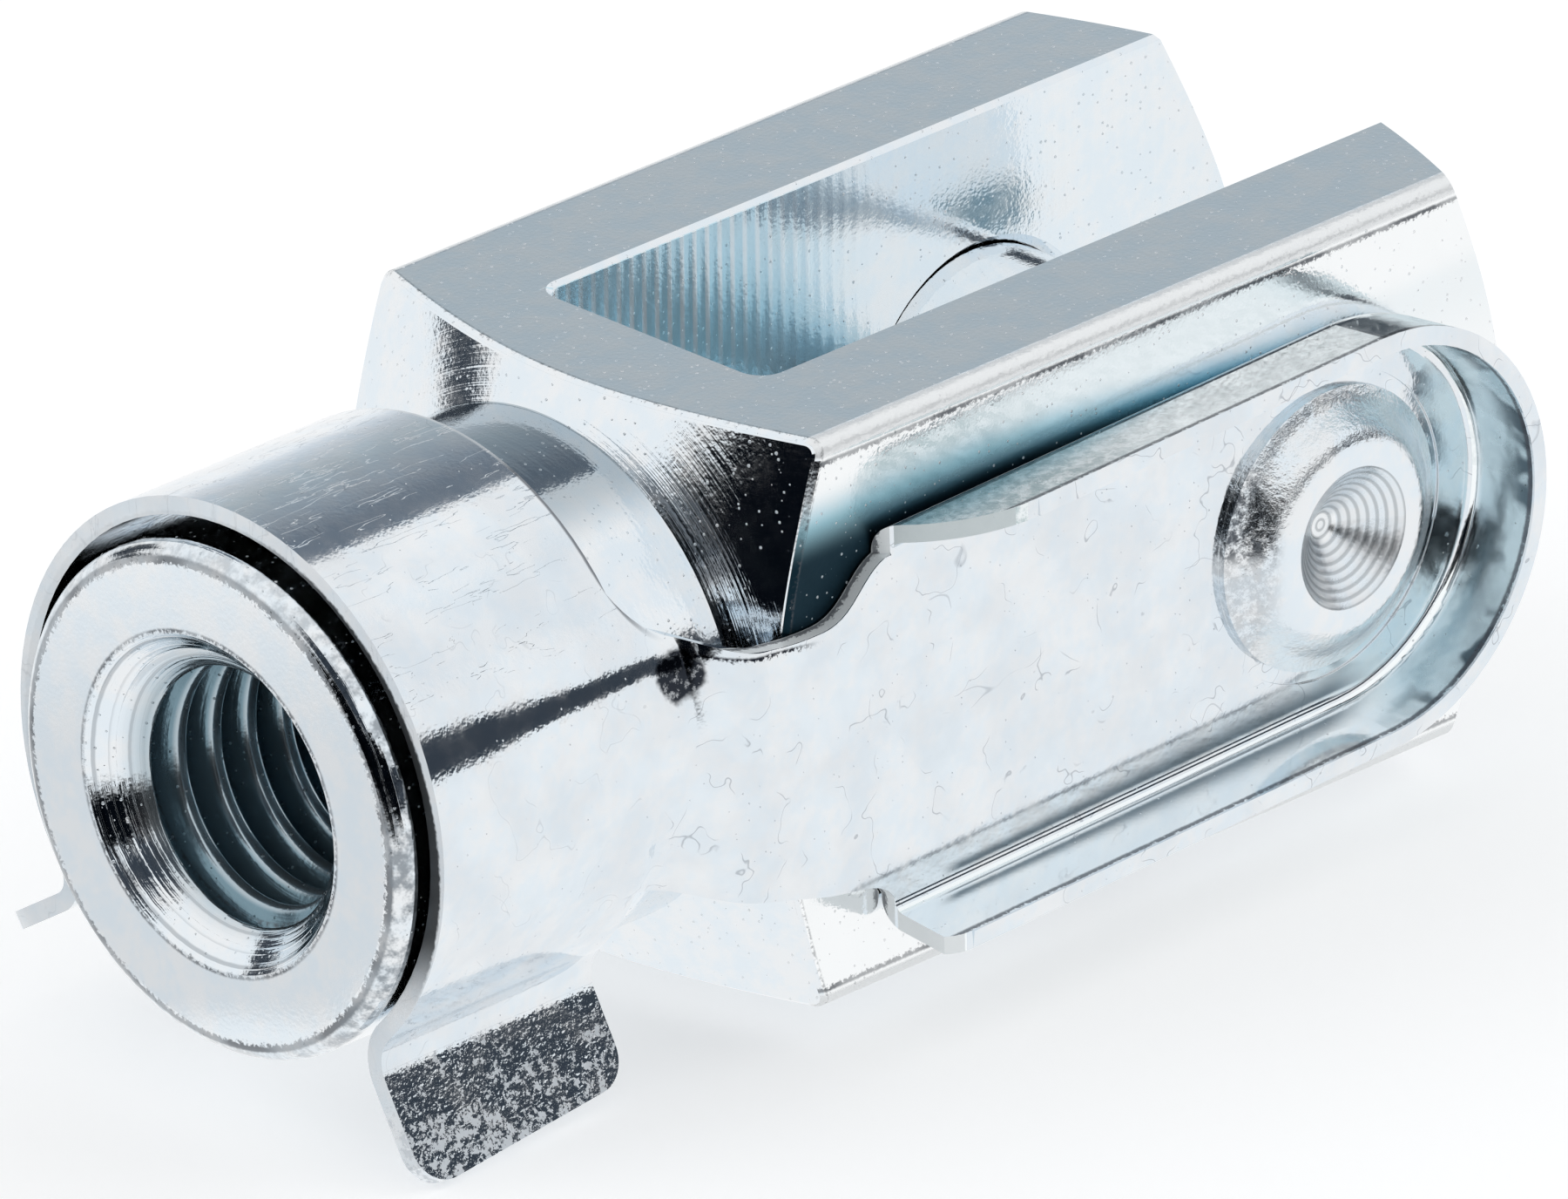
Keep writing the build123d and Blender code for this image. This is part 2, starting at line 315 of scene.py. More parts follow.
BRIGHT = plain(0.95, 0.96, 0.97)
GREY = plain(0.80, 0.81, 0.82)
DARK = plain(0.045, 0.055, 0.07)
BLACK = plain(0.002, 0.003, 0.005)
BACK_SHADES = [
    (0.00, (0.95, 0.97, 1.00)),
    (0.22, (0.60, 0.64, 0.68)),
    (0.38, (0.46, 0.51, 0.54)),
    (0.62, (0.32, 0.36, 0.40)),
    (0.76, (0.18, 0.21, 0.25)),
    (1.00, (0.18, 0.21, 0.25)),
]
NECK_END = -32.0  # mm; x of the neck's flat end
NECK_FACE = Vector((NECK_END, 0.0, 0.0)) * MM

# Each line gives a flag's name, its azimuths, its elevations, its shades, the shares of its width
# and height over which it fades, and its centre where that isn't the origin.
flag("flag_back", (105, 170), (2, 62), BACK_SHADES, (0.02, 0.12))
flag("card_right", (43, 99), (20, 50), BRIGHT, (0.03, 0.1))
flag("flag_right", (-12, 72), (3.5, 17.4), DARK, (0.04, 0.05))
flag("flag_camera", (-64, -12), (-6, 26), BLACK, (0.08, 0.15))
flag("flag_front", (-106, -62), (-8, 15.5), BLACK, (0.03, 0.1))
flag("flag_left", (-158, -143), (0.5, 10), DARK, (0.2, 0.2))
flag("card_neck", (190, 260), (-60, -12), GREY, (0.2, 0.2), NECK_FACE)
flag("flag_high", (-102, -50), (12, 46), DARK, (0.2, 0.2), NECK_FACE)
flag("flag_mouth", (176, 202), (5, 26), DARK, (0.2, 0.2), NECK_FACE)

# %% [markdown]
# ## Plating, made of small effects
# Bright zinc is a thin skin over the steel, put on in a bath. It follows every mark of the tool
# below it and adds some of its own: a slight cloudiness, a fine grain, and specks where a bubble
# or a grain of dust sat. Each effect is a node group that gives a colour, a mask or a height, so
# that the three pieces can share it with their own values. A height is in millimetres, so that a
# mark has its true depth and bends reflections by the right amount.


# %% Helpers for effects
def noise(tree, place, scale, detail=2.0, roughness=0.5):
    """Cloudy noise from 0 to 1; scale is in cells per millimetre."""
    inputs = {"Vector": place, "Scale": scale, "Detail": detail, "Roughness": roughness}
    return node(tree, "ShaderNodeTexNoise", inputs).outputs["Fac"]


def times(tree, *factors):
    """Multiply sockets and numbers. Masks combine so: they are 1 where they show, else 0."""
    product = factors[0]
    for factor in factors[1:]:
        product = calc(tree, "MULTIPLY", product, factor)
    return product


def minus(tree, value, taken):
    """Subtract a socket or a number from another."""
    return calc(tree, "SUBTRACT", value, taken)


def new_group(name, inputs, outputs):
    """Start a node group with named sockets; return its tree, what it is given and its results."""
    tree = bpy.data.node_groups.new(name, "ShaderNodeTree")
    for label, kind, value in inputs:
        kind = "NodeSocket" + kind
        socket = tree.interface.new_socket(label, in_out="INPUT", socket_type=kind)
        if value is not None:
            socket.default_value = value
    for label, kind in outputs:
        tree.interface.new_socket(label, in_out="OUTPUT", socket_type="NodeSocket" + kind)
    given = tree.nodes.new("NodeGroupInput").outputs
    return tree, given, tree.nodes.new("NodeGroupOutput").inputs


print("effect helpers:", [helper.__name__ for helper in (noise, times, minus, new_group)])

# %% Zinc skin: clouds, grain and specks
COOL_ZINC = (0.77, 0.84, 0.895, 1.0)
WARM_ZINC = (0.84, 0.865, 0.885, 1.0)
CLOUD_SCALE, GRAIN_SCALE, SPECK_SCALE = 0.9, 8.0, 5.6  # cells per millimetre
CLOUD_DEPTH, GRAIN_DEPTH, SPECK_DEPTH = 0.004, 0.0035, 0.007  # mm

zinc_skin, given, result = new_group(
    "zinc skin",
    [("Place", "Vector", None), ("Grain", "Float", 1.0), ("Specks", "Float", 1.0)],
    [("Colour", "Color"), ("Roughness", "Float"), ("Height", "Float"), ("Speck Mask", "Float")],
)
links = zinc_skin.links
haze = noise(zinc_skin, given["Place"], CLOUD_SCALE, detail=3.0, roughness=0.7)
tint = mix_colours(zinc_skin, ramp(zinc_skin, haze, 0.35, 0.65), COOL_ZINC, WARM_ZINC)
links.new(tint, result["Colour"])

grain = noise(zinc_skin, given["Place"], GRAIN_SCALE, detail=1.0)
grain = times(zinc_skin, grain, GRAIN_DEPTH, given["Grain"])
height = calc(zinc_skin, "MULTIPLY_ADD", haze, CLOUD_DEPTH, grain)

# A speck is the middle of a cell. Each cell draws a lot, and the lot decides how large it is.
cells = node(zinc_skin, "ShaderNodeTexVoronoi", {"Vector": given["Place"], "Scale": SPECK_SCALE})
lot = node(zinc_skin, "ShaderNodeSeparateColor", {0: cells.outputs["Color"]}).outputs[0]
size = ramp(zinc_skin, times(zinc_skin, lot, given["Specks"]), 0.3, 1.2, 0.0, 0.32)
speck = ramp(zinc_skin, minus(zinc_skin, size, cells.outputs["Distance"]), 0.0, 0.1)
links.new(speck, result["Speck Mask"])
polish = ramp(zinc_skin, haze, 0.3, 0.75, 0.06, 0.14)
links.new(calc(zinc_skin, "MULTIPLY_ADD", speck, 0.4, polish), result["Roughness"])
links.new(calc(zinc_skin, "MULTIPLY_ADD", speck, SPECK_DEPTH, height), result["Height"])
print("zinc skin nodes:", len(zinc_skin.nodes))

# %% Hairlines: fine curly scratches
# A hairline runs where a noise crosses its middle value. A second noise leaves them in patches.
PATCH_SCALE = 0.8  # cells per millimetre
PATCH_MOVE = (31.0, 17.0, 5.0)  # mm, so that the two noises don't look alike


def invert(tree, mask):
    """Turn a mask inside out."""
    return calc(tree, "SUBTRACT", 1.0, mask)


hairlines, given, result = new_group(
    "hairlines",
    [
        ("Place", "Vector", None),
        ("Scale", "Float", 0.5),
        ("Amount", "Float", 0.5),
        ("Width", "Float", 0.01),
    ],
    [("Mask", "Float")],
)
curl = noise(hairlines, given["Place"], given["Scale"], detail=2.5, roughness=0.55)
off_line = calc(hairlines, "ABSOLUTE", minus(hairlines, curl, 0.5))
on_line = ramp(hairlines, off_line, 0.0, given["Width"], 1.0, 0.0)
moved = node(hairlines, "ShaderNodeVectorMath", {0: given["Place"], 1: PATCH_MOVE}, operation="ADD")
patches = noise(hairlines, moved.outputs[0], PATCH_SCALE, detail=1.0)
patches = minus(hairlines, patches, invert(hairlines, given["Amount"]))
patches = ramp(hairlines, patches, 0.0, 0.08)
hairlines.links.new(times(hairlines, on_line, patches), result["Mask"])
print("hairline nodes:", len(hairlines.nodes))

# %% Tool lines: parallel marks left by a cutter
TOOL_MARKS = (  # lines per millimetre, depth in mm, the input that scales it
    (3.2, 0.006, "Coarse"),
    (14.0, 0.0022, "Fine"),
)


def plus(tree, *terms):
    """Add sockets and numbers, from the last back to the first."""
    total = terms[-1]
    for term in reversed(terms[:-1]):
        total = calc(tree, "ADD", term, total)
    return total


tool_lines, given, result = new_group(
    "tool lines",
    [("Along", "Float", 0.0), ("Coarse", "Float", 1.0), ("Fine", "Float", 1.0)],
    [("Height", "Float")],
)
total = 0.0
for scale, depth, weight in TOOL_MARKS:
    inputs = {"W": given["Along"], "Scale": scale, "Detail": 1.0}
    marks = node(tool_lines, "ShaderNodeTexNoise", inputs, noise_dimensions="1D").outputs["Fac"]
    total = plus(tool_lines, total, times(tool_lines, marks, depth, given[weight]))
tool_lines.links.new(total, result["Height"])
print("tool line nodes:", len(tool_lines.nodes))

# %% Wear and reflection line: a ragged dark line beside an edge, for wear and painted reflections
RAGGED_SCALE = 7.0  # cells per millimetre
STRAY, SWELL = 0.22, 0.3  # mm that the noise moves the line, and adds to its half width

wear_and_reflection_line, given, result = new_group(
    "wear and reflection line",
    [("Place", "Vector", None), ("Distance", "Float", 0.0), ("Width", "Float", 0.1)],
    [("Mask", "Float")],
)
ragged = noise(wear_and_reflection_line, given["Place"], RAGGED_SCALE, detail=3.0, roughness=0.7)
ragged = minus(wear_and_reflection_line, ragged, 0.5)
middle = calc(wear_and_reflection_line, "MULTIPLY_ADD", ragged, STRAY, given["Distance"])
half_width = calc(wear_and_reflection_line, "MULTIPLY_ADD", ragged, SWELL, given["Width"])
inside = minus(wear_and_reflection_line, half_width, calc(wear_and_reflection_line, "ABSOLUTE", middle))
wear_and_reflection_line.links.new(ramp(wear_and_reflection_line, inside, -0.04, 0.05), result["Mask"])
print("groups:", [group.name for group in bpy.data.node_groups])

# %% [markdown]
# ## Fork: turned, milled and tumbled
# The fork head is cut from square bar. A lathe turned the neck and the shoulder behind it and left
# rings there. A slot cutter left upright ripples on the slot's two walls. Then the part was
# tumbled, which softened its long edges and knocked the rim of the neck, and it was plated last.
#
# The solid has one material for all of this. Its faces could be given a material each, but real
# marks fade out in the middle of a face. So one material finds its zones by their place on the
# piece, in millimetres, and each zone is a mask that may end softly. In a ramp, the first two
# numbers say where on the piece it begins and ends, and the last two how strong it is there.


# %% Start a plated material
def start_plating(name):
    """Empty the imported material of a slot, or start it, and give it a metal shader."""
    material = bpy.data.materials.get(name) or bpy.data.materials.new(name)
    material.use_nodes = True
    tree = material.node_tree
    tree.nodes.clear()
    shader = node(tree, "ShaderNodeBsdfPrincipled", {"Metallic": 1.0})
    node(tree, "ShaderNodeOutputMaterial", {"Surface": shader.outputs[0]})
    return material, tree, shader


def place_on_piece(tree):
    """The place on the piece in millimetres, as a vector and as its X, Y and Z."""
    coordinates = node(tree, "ShaderNodeTexCoord").outputs["Object"]
    scaled = {0: coordinates, "Scale": 1 / MM}
    scaled = node(tree, "ShaderNodeVectorMath", scaled, operation="SCALE").outputs[0]
    return scaled, node(tree, "ShaderNodeSeparateXYZ", {0: scaled}).outputs


fork_zinc, tree, shader = start_plating("fork_zinc")
place, (x, y, z) = place_on_piece(tree)
print("started:", fork_zinc.name)


# %% Helpers for zones
def below(tree, value, limit):
    """1 where a value is less than a limit."""
    return calc(tree, "LESS_THAN", value, limit)


def above(tree, value, limit):
    """1 where a value is more than a limit."""
    return calc(tree, "GREATER_THAN", value, limit)


def hypotenuse(tree, one, other):
    """Distance from an axis, out of the two coordinates across it."""
    squares = calc(tree, "ADD", times(tree, one, one), times(tree, other, other))
    return calc(tree, "SQRT", squares)


side, rise = calc(tree, "ABSOLUTE", y), calc(tree, "ABSOLUTE", z)
radius = hypotenuse(tree, y, z)
print("fork nodes:", len(tree.nodes))

# %% Fork: zones
NECK_RADIUS = 7.0  # mm, as all that follow
BAR_HALF = 8.0  # half the width of the square bar
SLOT_HALF = 4.0
SLOT_ROOT = -16.0
BORE_RADIUS = 4.0
MOUTH_RADIUS = 4.575  # countersink, which is cut at 45 degrees
SHOULDER_START = -19.95  # where the shoulder's cone meets the neck
SHOULDER_SLOPE = tan(radians(26.5))
HAIR = 0.02  # a mask for a face begins this far from it, so that rounding can't make it miss

past_neck = minus(tree, radius, NECK_RADIUS)
shoulder_x = calc(tree, "MULTIPLY_ADD", past_neck, SHOULDER_SLOPE, SHOULDER_START)
turned = below(tree, x, shoulder_x)
face = below(tree, x, NECK_END + 0.01)
mouth = times(tree, below(tree, radius, MOUTH_RADIUS + 0.025), below(tree, x, NECK_END + 1.4))
bore = ramp(tree, x, NECK_END + 0.5, NECK_END + 1.6)
bore = times(tree, below(tree, radius, BORE_RADIUS + 0.06), bore)
wall = calc(tree, "COMPARE", side, SLOT_HALF, HAIR)
wall = times(tree, wall, above(tree, x, SLOT_ROOT - 0.1))
rounded = ramp(tree, calc(tree, "MINIMUM", side, rise), BAR_HALF - 0.5, BAR_HALF - 0.38)
rounded = times(tree, rounded, invert(tree, turned))
print("fork nodes after its zones:", len(tree.nodes))


# %% Fork: skin
def group_node(tree, group, inputs):
    """Use a node group in a tree and fill its named inputs; return its outputs."""
    return node(tree, "ShaderNodeGroup", inputs, node_tree=group).outputs


specks = calc(tree, "MULTIPLY_ADD", face, -0.45, 1.0)
skin = group_node(tree, zinc_skin, {"Place": place, "Grain": 1.0, "Specks": specks})
print("skin gives:", skin.keys())

# %% Fork: rings of the lathe
# The rings are deepest beside the neck and in the countersink. The end face has none.
ring_depth = times(tree, ramp(tree, radius, 7.8, 9.8, 1.7, 0.15), invert(tree, face))
ring_depth = calc(tree, "MULTIPLY_ADD", mouth, 2.6, ring_depth)
along = calc(tree, "MULTIPLY_ADD", x, 0.35, radius)
along = times(tree, along, plus(tree, 1.0, times(tree, mouth, 0.8)))
rings = group_node(tree, tool_lines, {"Along": along})["Height"]
chatter = times(tree, mouth, ramp(tree, rings, 0.0040, 0.0052))
rings = times(tree, rings, turned, ring_depth)
print("fork nodes after its rings:", len(tree.nodes))

# %% Fork: relief
# The slot cutter's ripples are strongest at the slot's root and fade towards its mouth.
MILL_PITCH = 0.46  # mm the cutter moved per turn
RIPPLE_DEPTH = 0.003
TUMBLED_SCALE, TUMBLED_DEPTH = 4.0, 0.03


def press_into_surface(tree, shader, height):
    """Turn a height in millimetres into bent normals."""
    bump = node(tree, "ShaderNodeBump", {"Height": height, "Distance": MM, "Strength": 1.0})
    tree.links.new(bump.outputs[0], shader.inputs["Normal"])


fading = ramp(tree, x, -13.0, 1.0, 1.0, 0.08)
ripple = calc(tree, "SINE", times(tree, x, 2 * pi / MILL_PITCH))
lines = group_node(tree, tool_lines, {"Along": x, "Coarse": 0.5, "Fine": 0.6})["Height"]
milled = calc(tree, "MULTIPLY_ADD", ripple, RIPPLE_DEPTH, lines)
milled = times(tree, milled, fading, wall)

tumbled = times(tree, noise(tree, place, TUMBLED_SCALE), rounded, TUMBLED_DEPTH)
press_into_surface(tree, shader, plus(tree, skin["Height"], rings, milled, tumbled))
print("fork nodes after its relief:", len(tree.nodes))

# %% [markdown]
# ## Fork: colour, wear and painted light
# Zinc is nearly white on the ears' sides and the rounded edges, where the white is a painted
# highlight; the slot's walls are painted blue, a painted reflection of the room across the slot;
# and the bore and the corner beside the clip are painted dark, a painted shade. The colour is laid
# on as a painter would: first the wide zones, then the painted shade in the corner, then the thin
# lines beside the edges. Each layer is one mix with its own mask, so a layer can be looked at or
# left out without touching the others.

# %% Fork: colour of slot, bore and neck
SLOT_REFLECTION_BLUE = (0.50, 0.80, 0.93, 1.0)
BORE_SHADE_ZINC = (0.20, 0.31, 0.37, 1.0)
WHITE_ZINC = (0.93, 0.95, 0.96, 1.0)
NECK_REFLECTION_ZINC = (0.22, 0.29, 0.34, 1.0)
CLIP_EDGE = -23.7  # mm; x of the edge of the C towards the fork

# The slot's walls are painted blue, deeper towards the bottom: a painted reflection of the room,
# seen over many bounces between the walls.
slot_reflection = ramp(tree, z, 4.5, 8.2, 1.0, 0.6)
slot_reflection = times(tree, wall, ramp(tree, x, -10.5, -3.5, 1.0, 0.05), slot_reflection)
colour = mix_colours(tree, slot_reflection, skin["Colour"], SLOT_REFLECTION_BLUE)
# The ripples' crests are painted white, more towards the top: painted highlights.
crest_highlights = times(tree, ramp(tree, ripple, 0.0, 0.9), slot_reflection, ramp(tree, z, 3.0, 7.0, 0.2, 1.3))
colour = mix_colours(tree, crest_highlights, colour, WHITE_ZINC)

# The bore is painted dark teal, a painted shade deep in the hole; the thread's crests get less.
flanks = times(tree, bore, ramp(tree, radius, 3.36, 3.5, 0.6, 1.0))
colour = mix_colours(tree, flanks, colour, BORE_SHADE_ZINC)

# Between the C and the shoulder the neck is bare. Its top is painted darker: a painted dark
# reflection of the C's edge and the shoulder.
neck_top_reflection = above(tree, x, CLIP_EDGE - 0.1)
neck_top_reflection = times(tree, below(tree, radius, NECK_RADIUS + 0.03), neck_top_reflection, turned)
neck_top_reflection = times(tree, neck_top_reflection, ramp(tree, z, 5.4, 6.4, 0.0, 0.6))
colour = mix_colours(tree, neck_top_reflection, colour, NECK_REFLECTION_ZINC)
print("fork nodes after its first colours:", len(tree.nodes))

# %% Fork: ears painted white, and painted shade in their corner
# In the corner between the near ear and the clip the ear is painted dark: a painted shade that
# stands in for the clip's blurred dark reflection and the shade beside it. It fades out under the
# clip, so that it looks right when the clip is swung away.
SHADE_TEAL_ZINC = (0.34, 0.58, 0.67, 1.0)
SHADE_DEEP_ZINC = (0.010, 0.030, 0.045, 1.0)
ARM_RISE, ARM_TOP = 0.0305, 5.12  # slope of the arm's upper edge, and its z in mm at the pin

above_clip = minus(tree, z, calc(tree, "MULTIPLY_ADD", x, ARM_RISE, ARM_TOP))
reach = ramp(tree, x, -16.0, 1.0, 2.5, 1.0)
corner_shade = ramp(tree, calc(tree, "DIVIDE", above_clip, reach), -0.1, 1.0, 1.0, 0.0)
under_clip = times(tree, ramp(tree, x, -13.5, -6.0, 1.0, 0.0), ramp(tree, z, -1.0, 2.6))
under_clip = calc(tree, "MAXIMUM", under_clip, ramp(tree, above_clip, -3.5, -0.3))
near_ear = below(tree, y, 0.1 - BAR_HALF)
corner_shade = times(tree, corner_shade, under_clip, near_ear, ramp(tree, x, -12.0, 4.0, 1.0, 0.1))

# The ears' sides are painted near white outside the shaded corner: painted light.
flank = above(tree, side, BAR_HALF - HAIR)
painted_lit_flank = times(tree, flank, invert(tree, ramp(tree, corner_shade, 0.0, 0.4)))
colour = mix_colours(tree, painted_lit_flank, colour, WHITE_ZINC)
# The rounded edges are painted near white: a painted highlight along them.
colour = mix_colours(tree, times(tree, rounded, 0.95), colour, WHITE_ZINC)
clean = invert(tree, times(tree, skin["Speck Mask"], 0.9))
for low, high, shade_colour in ((0.0, 0.55, SHADE_TEAL_ZINC), (0.3, 0.95, SHADE_DEEP_ZINC)):
    shade_part = times(tree, ramp(tree, corner_shade, low, high), clean)
    colour = mix_colours(tree, shade_part, colour, shade_colour)
print("fork nodes after its dull corner:", len(tree.nodes))

# %% Fork: dark lines beside its edges, worn and painted
# Each line is given by its distance in millimetres, its half width and its strength. A long way
# is added to the distance on the faces that a line isn't on. The lines beside the bar's edge and
# the neck's rim are painted dark reflections where the rounding ends; the others are wear.
WEAR_AND_REFLECTION_ZINC = (0.10, 0.11, 0.125, 1.0)
FAR_OFF = 9.0  # mm

off_flank = times(tree, below(tree, side, BAR_HALF - 0.1), FAR_OFF)
off_flat = calc(tree, "MAXIMUM", side, rise)
off_flat = times(tree, below(tree, off_flat, BAR_HALF - 0.1), FAR_OFF)
off_face = times(tree, above(tree, x, NECK_END + 0.3), FAR_OFF)
bar_edge = plus(tree, minus(tree, rise, BAR_HALF - 0.6), off_flank)
mouth_edge = plus(tree, minus(tree, radius, MOUTH_RADIUS + 0.085), off_face)
rim_edge = plus(tree, minus(tree, radius, NECK_RADIUS - 0.45), off_face)
shoulder_edge = plus(tree, minus(tree, x, plus(tree, shoulder_x, 0.15)), off_flat)
clip_edge = minus(tree, x, CLIP_EDGE + 0.06)
dark_edge_lines = (
    (bar_edge, 0.07, 0.95),
    (mouth_edge, 0.04, 0.85),
    (rim_edge, 0.11, 0.85),
    (shoulder_edge, 0.02, 0.7),
    (clip_edge, 0.05, 0.8),
)
patchy = ramp(tree, noise(tree, place, 0.5, detail=1.0), 0.4, 0.6, 0.65, 1.0)
for edge, width, strength in dark_edge_lines:
    dark_line = group_node(tree, wear_and_reflection_line, {"Place": place, "Distance": edge, "Width": width})["Mask"]
    colour = mix_colours(tree, times(tree, dark_line, patchy, strength), colour, WEAR_AND_REFLECTION_ZINC)
print("worn edges:", len(dark_edge_lines))

# %% Fork: knocked rim
# The rounding at the neck's rim was knocked in the barrel, more on one side than on the other.
KNOCKED_ZINC = (0.22, 0.25, 0.28, 1.0)

rim = ramp(tree, x, NECK_END + 0.6, NECK_END + 0.7, 1.0, 0.0)
rim = times(tree, ramp(tree, radius, NECK_RADIUS - 0.5, NECK_RADIUS - 0.38), rim)
knocks = ramp(tree, noise(tree, place, 2.0, detail=3.0, roughness=0.75), 0.36, 0.64)
knocks = times(tree, knocks, rim, ramp(tree, y, -6.6, -2.5, 0.85, 0.4))
knocks = calc(tree, "MAXIMUM", knocks, times(tree, chatter, 0.5))
colour = mix_colours(tree, knocks, colour, KNOCKED_ZINC)
tree.links.new(colour, shader.inputs["Base Color"])
print("fork nodes after its colours:", len(tree.nodes))


# %% Fork: shine
def roughen(tree, shader, rough, zones):
    """Add to the roughness in each zone by its own amount."""
    for zone, more in zones:
        rough = calc(tree, "MULTIPLY_ADD", zone, more, rough)
    tree.links.new(rough, shader.inputs["Roughness"])


def frost(tree, shader, frosted):
    """Let a share of the surface scatter light as matt paint does, instead of mirroring it."""
    tree.links.new(invert(tree, frosted), shader.inputs["Metallic"])


rough_zones = ((rounded, 0.25), (bore, 0.08), (slot_reflection, 0.06), (corner_shade, 0.3))
roughen(tree, shader, skin["Roughness"], rough_zones)
frosted = 0.0
for zone, share in ((slot_reflection, 0.55), (flanks, 0.2), (rounded, 0.6)):
    frosted = calc(tree, "MULTIPLY_ADD", zone, share, frosted)
frost(tree, shader, frosted)
print("fork nodes:", len(tree.nodes))

# %% [markdown]
# ## Clip: rolled, pressed and rubbed
# The clip is pressed from rolled sheet 0.5 mm thick. Its C was rolled round a mandrel, its arm was
# dished, and the dish's wall, the flange, was drawn over a die. Sheet comes smoother than bar,
# so here the plating has less grain, and handling shows more: hairlines, rubs and scrapes.
#
# As on the fork, masks find the zones: the C, which is called the collar, its lip, the flange and
# the edges that the punch sheared. They could be painted by hand instead, but a mask in
# millimetres can be checked against the sizes of the part.

# %% Clip: zones
ARM_INSIDE = -8.0  # mm along Y, just clear of the arm's inner side
ARM_FACE, RIM_FACE = -8.55, -10.55  # the arm's outer side, and the flange's rim
COLLAR_END = -23.0  # x where the web takes over from the collar
DISH_RISE, DISH_BOTTOM = 0.0285, -4.75  # slope of the arm's lower bend, and its z at the pin
LIP_TOP = -6.05  # z of the bend into the near lip

clip_zinc, tree, shader = start_plating("clip_zinc")
place, (x, y, z) = place_on_piece(tree)
collar = below(tree, x, COLLAR_END)
not_collar = invert(tree, collar)
flange = times(tree, below(tree, y, ARM_FACE - 0.07), not_collar)
rim = times(tree, flange, below(tree, y, RIM_FACE + HAIR))
flange = minus(tree, flange, rim)
lower_bend = minus(tree, calc(tree, "MULTIPLY_ADD", x, DISH_RISE, DISH_BOTTOM), z)
near_lip = times(tree, below(tree, z, LIP_TOP), below(tree, y, -3.0), collar)
print("clip nodes after its zones:", len(tree.nodes))

# %% Clip: rolled skin and hairlines
ROLLED_ZINC = (0.58, 0.64, 0.70, 1.0)
SCRATCHED = (0.35, 0.38, 0.42, 1.0)
SCRATCHES = (  # scale, amount, width, strength
    (0.5, 0.52, 0.006, 0.65),
    (0.13, 0.46, 0.0016, 0.45),
)
RUB_TURN = 0.6  # radians between the rubs and the neck
RUB_STRETCH = (0.5, 4.0, 0.5)

drawn = times(tree, below(tree, y, ARM_INSIDE), ramp(tree, lower_bend, -1.6, -0.6))
smooth = calc(tree, "MAXIMUM", flange, drawn)
grain = calc(tree, "MULTIPLY_ADD", smooth, -0.6, 0.8)
skin = group_node(tree, zinc_skin, {"Place": place, "Grain": grain, "Specks": 0.8})
clouds = noise(tree, place, 0.5, detail=3.0, roughness=0.6)
colour = mix_colours(tree, ramp(tree, clouds, 0.3, 0.7, 0.0, 0.32), skin["Colour"], ROLLED_ZINC)
fewer_on_collar = calc(tree, "MULTIPLY_ADD", collar, -0.6, 1.0)
for scale, amount, width, strength in SCRATCHES:
    line = {"Place": place, "Scale": scale, "Amount": amount, "Width": width}
    line = times(tree, group_node(tree, hairlines, line)["Mask"], fewer_on_collar, strength)
    colour = mix_colours(tree, line, colour, SCRATCHED)

# Rubs run over the top of the C, most of them slanting along the neck.
slanted = {"Vector": place, "Rotation": (0.0, 0.0, RUB_TURN), "Scale": RUB_STRETCH}
slanted = node(tree, "ShaderNodeMapping", slanted).outputs[0]
rubs = {"Place": slanted, "Scale": 1.0, "Amount": 0.5, "Width": 0.012}
rubs = group_node(tree, hairlines, rubs)["Mask"]
rubs = times(tree, rubs, collar, ramp(tree, z, 4.0, 5.2))
print("clip nodes after its scratches:", len(tree.nodes))

# %% Clip: near lip
# The lip sways a little, so that it mirrors the dark side of the room. It is scraped in patches.
SCRAPED_ZINC = (0.72, 0.77, 0.82, 1.0)

sway = times(tree, near_lip, minus(tree, z, LIP_TOP), 0.07)
dents = times(tree, noise(tree, place, 4.0, detail=3.0, roughness=0.6), near_lip, 0.01)
spread = calc(tree, "MULTIPLY_ADD", noise(tree, place, 0.8, detail=1.0), 0.2, -0.1)
spread = plus(tree, ramp(tree, z, -8.2, -6.4, 0.48, 0.57), spread)
scrapes = minus(tree, noise(tree, place, 3.6, detail=3.0, roughness=0.8), spread)
scrapes = times(tree, ramp(tree, scrapes, 0.0, 0.1), near_lip)
colour = mix_colours(tree, times(tree, scrapes, 0.8), colour, SCRAPED_ZINC)
print("clip nodes after its lip:", len(tree.nodes))

# %% Clip: tight roll, and a painted dark reflection beside the arm
# The collar is rolled tighter towards the arm, which draws a dark line along it. Where it turns
# into the arm a painted dark reflection carries that line on: a spot, and a line along the root.
TIGHT_ROLL_Z = 3.2  # mm
JUNCTION_REFLECTION = (0.012, 0.016, 0.025, 1.0)
JUNCTION_REFLECTION_SPOT = (-22.5, -7.5, 2.85)  # mm

from_line = minus(tree, z, TIGHT_ROLL_Z)
ridge = calc(tree, "EXPONENT", times(tree, from_line, from_line, -1.56))
ridge = times(tree, ridge, ramp(tree, x, -31.0, -23.5, 0.0, 0.075), below(tree, y, 0.0))

